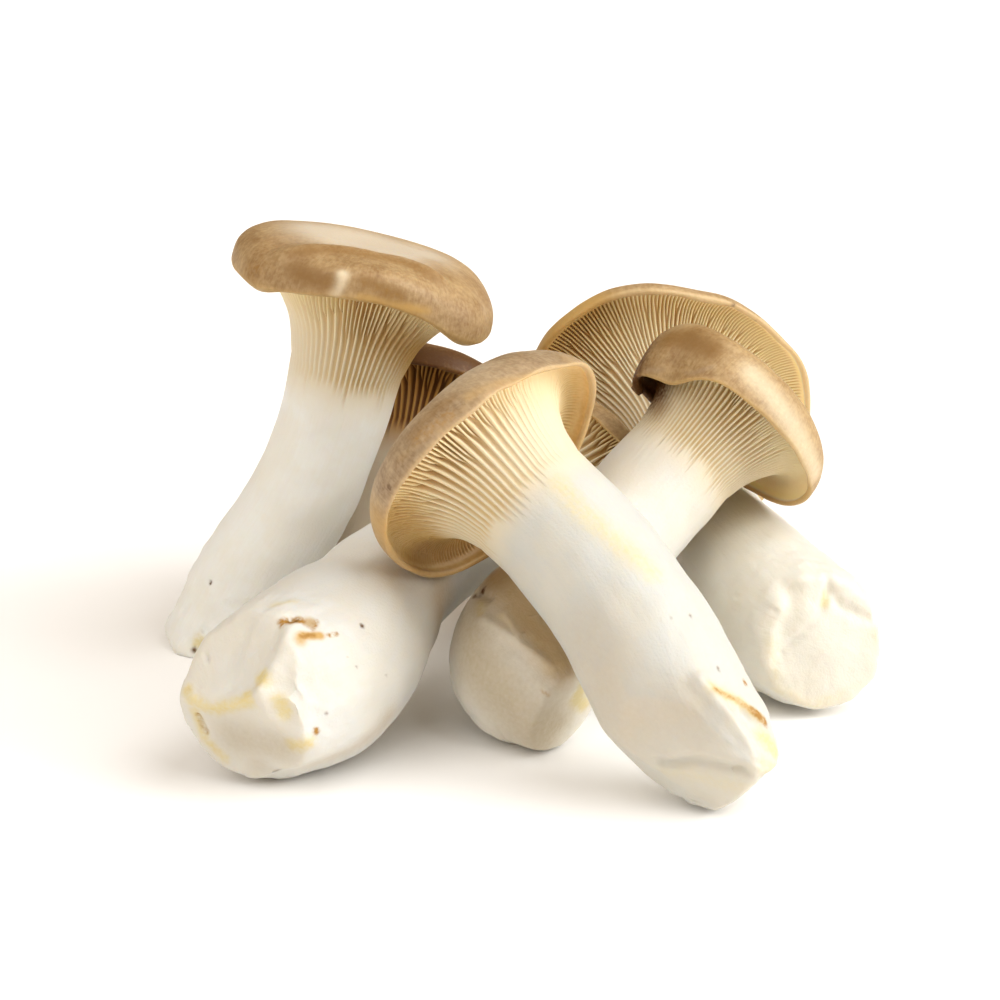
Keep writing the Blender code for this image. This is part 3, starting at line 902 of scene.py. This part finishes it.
def make_mushroom(m):
    """The mesh object of one mushroom, in place of its plain solid."""
    rows, line, run = mushroom_rows(m)
    points = np.vstack([r["points"] for r in rows])
    counts = [len(r["points"]) for r in rows]
    firsts = np.concatenate([[0], np.cumsum(counts)])[:-1]
    faces = []
    for a, b, n, k in zip(firsts, firsts[1:], counts, counts[1:]):
        faces += faces_between(int(a), n, int(b), k)
    foot, crown = len(points), len(points) + 1
    points = np.vstack([points, rows[0]["points"].mean(0), rows[-1]["points"].mean(0)])
    last = int(firsts[-1])
    faces += [[foot, (j + 1) % counts[0], j] for j in range(counts[0])]
    faces += [[last + j, last + (j + 1) % counts[-1], crown] for j in range(counts[-1])]
    data = {f: np.concatenate([r[f] for r in rows] + [[rows[0][f][0], rows[-1][f][0]]])
            for f in FIELDS}
    ends = [rows[0]["grain"].mean(0), rows[-1]["grain"].mean(0)]
    grain = np.vstack([r["grain"] for r in rows] + ends)

    mesh = bpy.data.meshes.new(m.name)
    mesh.from_pydata(points, [], faces)
    out = outward(mesh)
    low_part = ease(*LOW_PART, data["stem"])
    plain = 1 - np.maximum(data["gill"], 0.6 * data["skin"])
    lumps = layers(points, LUMPS, m.seed + 30)
    knots = low_part * layers(points, KNOTS, m.seed + 32)
    fibre = FIBRE_HEIGHT * wander(grain * FIBRE_STRETCH, 2.0, m.seed + 34)
    points = points + out * (plain * (lumps + knots + fibre))[:, None]
    heart = line[np.searchsorted(run, HEART)]
    foot_half, soft = data["stem"] < CUT_BELOW, SOFTER.get(m.name, SOFT_EDGE)
    points, cut = trim(points, heart, m.cuts, foot_half, soft)
    points = points - HEAP_MIDDLE
    mesh.vertices.foreach_set("co", points.ravel())
    mesh.update()
    points = points + outward(mesh) * strokes_height(points, STROKES[m.name])[:, None]
    where_rough = np.maximum(cut, FOOT_SHARE * low_part)
    rough = where_rough * layers(points, CUT_ROUGHNESS, m.seed + 40)
    points = points + outward(mesh) * rough[:, None]
    points[:, 2] = np.maximum(points[:, 2], 0)
    mesh.vertices.foreach_set("co", (points * MM).ravel())
    mesh.update()
    mesh.shade_smooth()
    data["cut"] = cut
    for colour in DAB_COLOURS:
        data[colour] = dab_amount(points, DABS[m.name].get(colour, []))
    for name, values in data.items():
        stored = mesh.attributes.new(name, "FLOAT", "POINT")
        stored.data.foreach_set("value", values.astype(np.float32))
    stored = mesh.attributes.new("grain", "FLOAT_VECTOR", "POINT")
    stored.data.foreach_set("vector", grain.astype(np.float32).ravel())
    piece = bpy.data.objects.new(m.name + "_skin", mesh)
    bpy.context.scene.collection.objects.link(piece)
    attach(piece, "root")
    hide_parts(m.name)
    return piece


pieces = {m.name: make_mushroom(m) for m in HEAP}
for name, piece in pieces.items():
    triangles = sum(len(p.vertices) - 2 for p in piece.data.polygons)
    print(f"{name}: {len(piece.data.vertices)} points, {triangles} triangles")

# %% [markdown]
# ## Colour effects
# Each finish is mixed from a few small effects, and several finishes use the same ones. An
# effect is a node group with named inputs and outputs, built once: soft blotches, fibres
# that follow the grain, and the ragged edge of a dab of colour.

# %% Helpers for nodes
MIX_SHARE, MIX_FIRST, MIX_SECOND, MIX_COLOUR = 0, 6, 7, 2


def feed(tree, socket, value):
    """Links an output to a socket, or sets the socket to a plain value."""
    if isinstance(value, bpy.types.NodeSocket):
        tree.links.new(value, socket)
    else:
        socket.default_value = value


def add(tree, kind, inputs=None, **settings):
    """A shader node. Its inputs are values, or the outputs of other nodes."""
    node = tree.nodes.new("ShaderNode" + kind)
    for key, value in settings.items():
        setattr(node, key, value)
    for key, value in (inputs or {}).items():
        feed(tree, node.inputs[key], value)
    return node


def new_group(name, inputs, outputs):
    """An empty effect with named inputs and outputs, and the nodes that stand for them."""
    group = bpy.data.node_groups.new(name, "ShaderNodeTree")
    for label, kind, value in inputs:
        socket = group.interface.new_socket(label, in_out="INPUT", socket_type="NodeSocket" + kind)
        if value is not None:
            socket.default_value = value
    for label, kind in outputs:
        group.interface.new_socket(label, in_out="OUTPUT", socket_type="NodeSocket" + kind)
    return group, group.nodes.new("NodeGroupInput"), group.nodes.new("NodeGroupOutput")


def use(tree, group, inputs):
    """The mask that an effect gives."""
    return add(tree, "Group", inputs, node_tree=group).outputs["Mask"]


def blend(tree, share, first, second):
    """A colour mix: first where share is 0 and second where it is 1."""
    inputs = {MIX_SHARE: share, MIX_FIRST: first, MIX_SECOND: second}
    return add(tree, "Mix", inputs, data_type="RGBA").outputs[MIX_COLOUR]


def sums(tree, operation, a, b=0.0, c=0.0, clamp=False):
    """The result of a sum, a product or a power."""
    return add(tree, "Math", {0: a, 1: b, 2: c}, operation=operation, use_clamp=clamp).outputs[0]


def between(tree, value, low, high):
    """0 where the value is low or less, 1 where it is high or more."""
    inputs = {"Value": value, "From Min": low, "From Max": high}
    return add(tree, "MapRange", inputs).outputs["Result"]


# %% Effect: soft blotches
blotch_group, given, out = new_group(
    "Soft blotches",
    [("Vector", "Vector", None), ("Size", "Float", 0.2), ("Low", "Float", 0.4),
     ("High", "Float", 0.6)],
    [("Mask", "Float")],
)
cloud = add(blotch_group, "TexNoise", {
    "Vector": given.outputs["Vector"], "Scale": given.outputs["Size"],
    "Detail": 4.0, "Roughness": 0.55,
})
spread_out = add(blotch_group, "MapRange", {
    "Value": cloud.outputs["Fac"], "From Min": given.outputs["Low"],
    "From Max": given.outputs["High"],
}, interpolation_type="SMOOTHSTEP")
blotch_group.links.new(spread_out.outputs["Result"], out.inputs["Mask"])
print("effect:", blotch_group.name)

# %% Effect: fibres along the grain
fibre_group, given, out = new_group(
    "Fibres along the grain",
    [("Grain", "Vector", None), ("Fineness", "Float", 1.5), ("Stretch", "Float", 0.08)],
    [("Mask", "Float")],
)
fineness = given.outputs["Fineness"]
along_part = sums(fibre_group, "MULTIPLY", fineness, given.outputs["Stretch"])
stretched = add(fibre_group, "CombineXYZ", {"X": fineness, "Y": fineness, "Z": along_part})
scaled = add(fibre_group, "VectorMath", {0: given.outputs["Grain"], 1: stretched.outputs[0]},
             operation="MULTIPLY")
strands = add(fibre_group, "TexNoise", {
    "Vector": scaled.outputs[0], "Scale": 1.0, "Detail": 3.0, "Roughness": 0.6,
})
fibre_group.links.new(strands.outputs["Fac"], out.inputs["Mask"])
print("effect:", fibre_group.name)

# %% Effect: dab with a ragged edge
dab_group, given, out = new_group(
    "Ragged dab",
    [("Amount", "Float", 0.0), ("Cloud", "Float", 0.5), ("Ragged", "Float", 0.5)],
    [("Mask", "Float")],
)
around_middle = sums(dab_group, "SUBTRACT", given.outputs["Cloud"], 0.5)
uneven = sums(dab_group, "MULTIPLY_ADD", around_middle, given.outputs["Ragged"], 1.0)
worn = sums(dab_group, "MULTIPLY", given.outputs["Amount"], uneven)
ramp = add(dab_group, "MapRange", {"Value": worn, "From Min": 0.08, "From Max": 0.9},
           interpolation_type="SMOOTHSTEP")
dab_group.links.new(ramp.outputs["Result"], out.inputs["Mask"])
print("effect:", dab_group.name)

# %% [markdown]
# ## The mushroom's finish
# One material holds the three surfaces of a mushroom: flesh, gills and cap skin. They grow
# into each other without a seam, so the masks that the points carry blend them. Flesh is a
# warm white with faint fibres, gills go from cream on the crests to brown in the valleys,
# and the skin is a grey brown with radial fibres and a pale edge. The brown in the valleys is
# partly the gills' own colour and partly painted shade for the narrow hollows between them.
# A coat holds one mushroom's colours in this order: flesh, the skin's dark and light tone, the
# rim, and the crests and valleys of the gills. Neck and hollow are what those two become at
# the neck. How light the flesh is differs from one mushroom to the next, partly as painted
# light and shade for how much light each one gets.

# %% Colours
CREAM_FLESH = (0.72, 0.63, 0.46, 1)
TAN_FLESH = (0.62, 0.46, 0.23, 1)
KNIFE_FACE = (0.68, 0.60, 0.46, 1)
Coat = namedtuple("Coat", "flesh dark light rim crest valley neck hollow",
                  defaults=(CREAM_FLESH, TAN_FLESH))
# Painted light and shade: the flesh is lightest on the standing mushroom and darkest on the front
# one, partly for how much light each gets.
COATS = {
    "standing_mushroom": Coat(
        (0.80, 0.80, 0.76, 1), (0.23, 0.12, 0.04, 1), (0.47, 0.32, 0.155, 1),
        (0.56, 0.37, 0.13, 1), (1.0, 0.80, 0.42, 1), (0.62, 0.35, 0.09, 1)),
    "left_mushroom": Coat(
        (0.66, 0.655, 0.62, 1), (0.25, 0.135, 0.045, 1), (0.52, 0.355, 0.175, 1),
        (0.62, 0.42, 0.17, 1), (0.92, 0.70, 0.34, 1), (0.52, 0.27, 0.06, 1)),
    "middle_mushroom": Coat(
        (0.72, 0.70, 0.64, 1), (0.25, 0.135, 0.045, 1), (0.50, 0.345, 0.165, 1),
        (0.66, 0.46, 0.20, 1), (1.0, 0.84, 0.52, 1), (0.66, 0.42, 0.15, 1)),
    "right_mushroom": Coat(
        (0.70, 0.68, 0.61, 1), (0.27, 0.15, 0.05, 1), (0.54, 0.38, 0.21, 1),
        (0.72, 0.54, 0.28, 1), (1.0, 0.83, 0.48, 1), (0.58, 0.30, 0.06, 1)),
    "front_mushroom": Coat(
        (0.56, 0.56, 0.525, 1), (0.22, 0.135, 0.065, 1), (0.47, 0.345, 0.205, 1),
        (0.64, 0.46, 0.24, 1), (0.94, 0.75, 0.42, 1), (0.44, 0.21, 0.04, 1)),
    # Painted shade: the rear mushroom's colours are all darker, for the deep shade it lies in at
    # the back of the heap.
    "rear_mushroom": Coat(
        (0.63, 0.55, 0.44, 1), (0.13, 0.06, 0.018, 1), (0.30, 0.16, 0.06, 1),
        (0.34, 0.17, 0.03, 1), (0.50, 0.26, 0.05, 1), (0.13, 0.045, 0.005, 1),
        neck=(0.50, 0.27, 0.07, 1), hollow=(0.18, 0.07, 0.01, 1)),
}
print("coats:", len(COATS))

# %% One finish for a whole mushroom
MM_PER_METRE = 1000.0
BLOTCH_SHARE, STREAK_SHARE, KNIFE_SHARE = 0.2, 0.1, 0.25
HAIR_SHARE, MOTTLE_SHARE, SPECK_SHARE = 0.28, 0.45, 0.28
RIM_SHARPNESS = 8.0


def mushroom_finish(m, coat):
    """The whole finish of one mushroom as a material."""
    material = bpy.data.materials.new(m.name + "_finish")
    material.use_nodes = True
    tree = material.node_tree
    shader = tree.nodes["Principled BSDF"]
    place = add(tree, "TexCoord").outputs["Object"]
    here = add(tree, "VectorMath", operation="SCALE", inputs={0: place, "Scale": MM_PER_METRE})
    here = here.outputs[0]

    def mark(name):
        return add(tree, "Attribute", attribute_name=name).outputs["Fac"]

    grain = add(tree, "Attribute", attribute_name="grain").outputs["Vector"]
    gill, valley, skin, top, cut = (mark(n) for n in ("gill", "valley", "skin", "top", "cut"))
    blotches = use(tree, blotch_group, {"Vector": here, "Size": 0.07})
    fibres = use(tree, fibre_group, {"Grain": grain})
    streaks = between(tree, fibres, 0.35, 0.65)
    flesh = blend(tree, sums(tree, "MULTIPLY", blotches, BLOTCH_SHARE), coat.flesh, CREAM_FLESH)
    flesh = blend(tree, sums(tree, "MULTIPLY", streaks, STREAK_SHARE), flesh, CREAM_FLESH)
    flesh = blend(tree, sums(tree, "MULTIPLY", cut, KNIFE_SHARE), flesh, KNIFE_FACE)
    outer = between(tree, top, 0.05, 0.75)
    crests = blend(tree, outer, coat.neck, coat.crest)
    # painted shade: the valley colours are darker than the crests, partly for the shade between the
    # gills
    valleys = blend(tree, outer, coat.hollow, coat.valley)
    deep = sums(tree, "POWER", valley, 0.8, clamp=True)
    gills = blend(tree, deep, crests, valleys)
    body = blend(tree, gill, flesh, gills)
    fine = use(tree, fibre_group, {"Grain": grain, "Fineness": 4.0, "Stretch": 0.06})
    hairs = between(tree, fine, 0.3, 0.7)
    mottle = use(tree, blotch_group, {"Vector": here, "Size": 0.10, "Low": 0.3, "High": 0.7})
    specks = use(tree, blotch_group, {"Vector": here, "Size": 0.8, "Low": 0.35, "High": 0.65})
    tone = sums(tree, "MULTIPLY", mottle, MOTTLE_SHARE)
    tone = sums(tree, "MULTIPLY_ADD", hairs, HAIR_SHARE, tone)
    tone = sums(tree, "MULTIPLY_ADD", specks, SPECK_SHARE, tone, clamp=True)
    cap = blend(tree, tone, coat.dark, coat.light)
    cap = blend(tree, skin, coat.rim, cap)
    rim = sums(tree, "MULTIPLY", skin, RIM_SHARPNESS, clamp=True)
    colour = blend(tree, rim, body, cap)
    cloud = add(tree, "TexNoise", {"Vector": here, "Scale": 0.9, "Detail": 4.0}).outputs["Fac"]
    for name, paint in DAB_COLOURS.items():
        share = use(tree, dab_group, {"Amount": mark(name), "Cloud": cloud,
                                      "Ragged": RAGGED.get(name, LESS_RAGGED)})
        colour = blend(tree, share, colour, paint)
    tree.links.new(colour, shader.inputs["Base Color"])
    sheen = add(tree, "MapRange", {"Value": cloud, "To Min": 0.42, "To Max": 0.62})
    tree.links.new(sheen.outputs["Result"], shader.inputs["Roughness"])
    shader.inputs["Specular IOR Level"].default_value = 0.35
    shader.inputs["Subsurface Weight"].default_value = 0.25
    shader.inputs["Subsurface Radius"].default_value = (1.0, 0.6, 0.3)
    shader.inputs["Subsurface Scale"].default_value = 0.003
    pores = add(tree, "TexNoise", {"Vector": here, "Scale": 1.6, "Detail": 3.0}).outputs["Fac"]
    height = sums(tree, "MULTIPLY_ADD", fibres, 0.8, pores)
    bump = add(tree, "Bump", {"Strength": 0.25, "Distance": 0.0004, "Height": height})
    tree.links.new(bump.outputs["Normal"], shader.inputs["Normal"])
    return material


for m in HEAP:
    pieces[m.name].data.materials.append(mushroom_finish(m, COATS[m.name]))
print("finishes:", len(HEAP))

# %% [markdown]
# ## Floor, light and camera
# The heap stands on a plain pale floor under soft studio light: three wide lights that are
# slightly cool, and a warm shade from all sides. The camera looks down a little from the
# front, with a longer lens, so the heap shows with little perspective.

# %% Floor
FLOOR_SIZE = 40.0
PAPER = (0.98, 0.97, 0.955, 1)
floor_mesh = bpy.data.meshes.new("floor")
half = FLOOR_SIZE / 2
floor_mesh.from_pydata([(-half, -half, 0), (half, -half, 0), (half, half, 0), (-half, half, 0)], [],
                       [(0, 1, 2, 3)])
floor = bpy.data.objects.new("floor", floor_mesh)
bpy.context.scene.collection.objects.link(floor)
paper = bpy.data.materials.new("pale_paper")
paper.use_nodes = True
paper_shader = paper.node_tree.nodes["Principled BSDF"]
paper_shader.inputs["Base Color"].default_value = PAPER
paper_shader.inputs["Roughness"].default_value = 0.9
floor_mesh.materials.append(paper)

# %% Light
COOL_WHITE = (0.94, 0.97, 1.0)
WARM_SHADE = (1.0, 0.74, 0.45, 1)
SHADE_STRENGTH = 0.34


def studio_light(name, direction, strength, spread):
    """A distant soft light. direction points from the heap to the light."""
    lamp = bpy.data.lights.new(name, "SUN")
    lamp.energy = strength
    lamp.angle = math.radians(spread)
    lamp.color = COOL_WHITE
    holder = bpy.data.objects.new(name, lamp)
    holder.rotation_euler = Vector(direction).to_track_quat("Z", "Y").to_euler()
    bpy.context.scene.collection.objects.link(holder)


studio_light("key_light", (0.70, -0.20, 0.85), 2.35, 60)
studio_light("front_light", (-0.45, -0.50, 0.80), 1.5, 60)
studio_light("edge_light", (1.00, -0.15, 0.35), 1.8, 40)
world = bpy.data.worlds.new("studio")
world.use_nodes = True
backdrop = world.node_tree.nodes["Background"]
backdrop.inputs["Color"].default_value = WARM_SHADE
backdrop.inputs["Strength"].default_value = SHADE_STRENGTH
bpy.context.scene.world = world
bpy.context.scene.view_settings.view_transform = "Standard"

# %% Camera
AIM = Vector((-0.003014, -0.018536, 0.055))
ELEVATION = math.radians(18)
DISTANCE = 0.625
camera_data = bpy.data.cameras.new("camera")
camera_data.lens = 90
camera_data.sensor_width = 36
camera_data.clip_end = 50
camera = bpy.data.objects.new("camera", camera_data)
back_off = Vector((0, -math.cos(ELEVATION), math.sin(ELEVATION))) * DISTANCE
camera.location = AIM + back_off
camera.rotation_euler = (-back_off).to_track_quat("-Z", "Y").to_euler()
bpy.context.scene.collection.objects.link(camera)
bpy.context.scene.camera = camera
print("camera at", [round(c, 3) for c in camera.location])
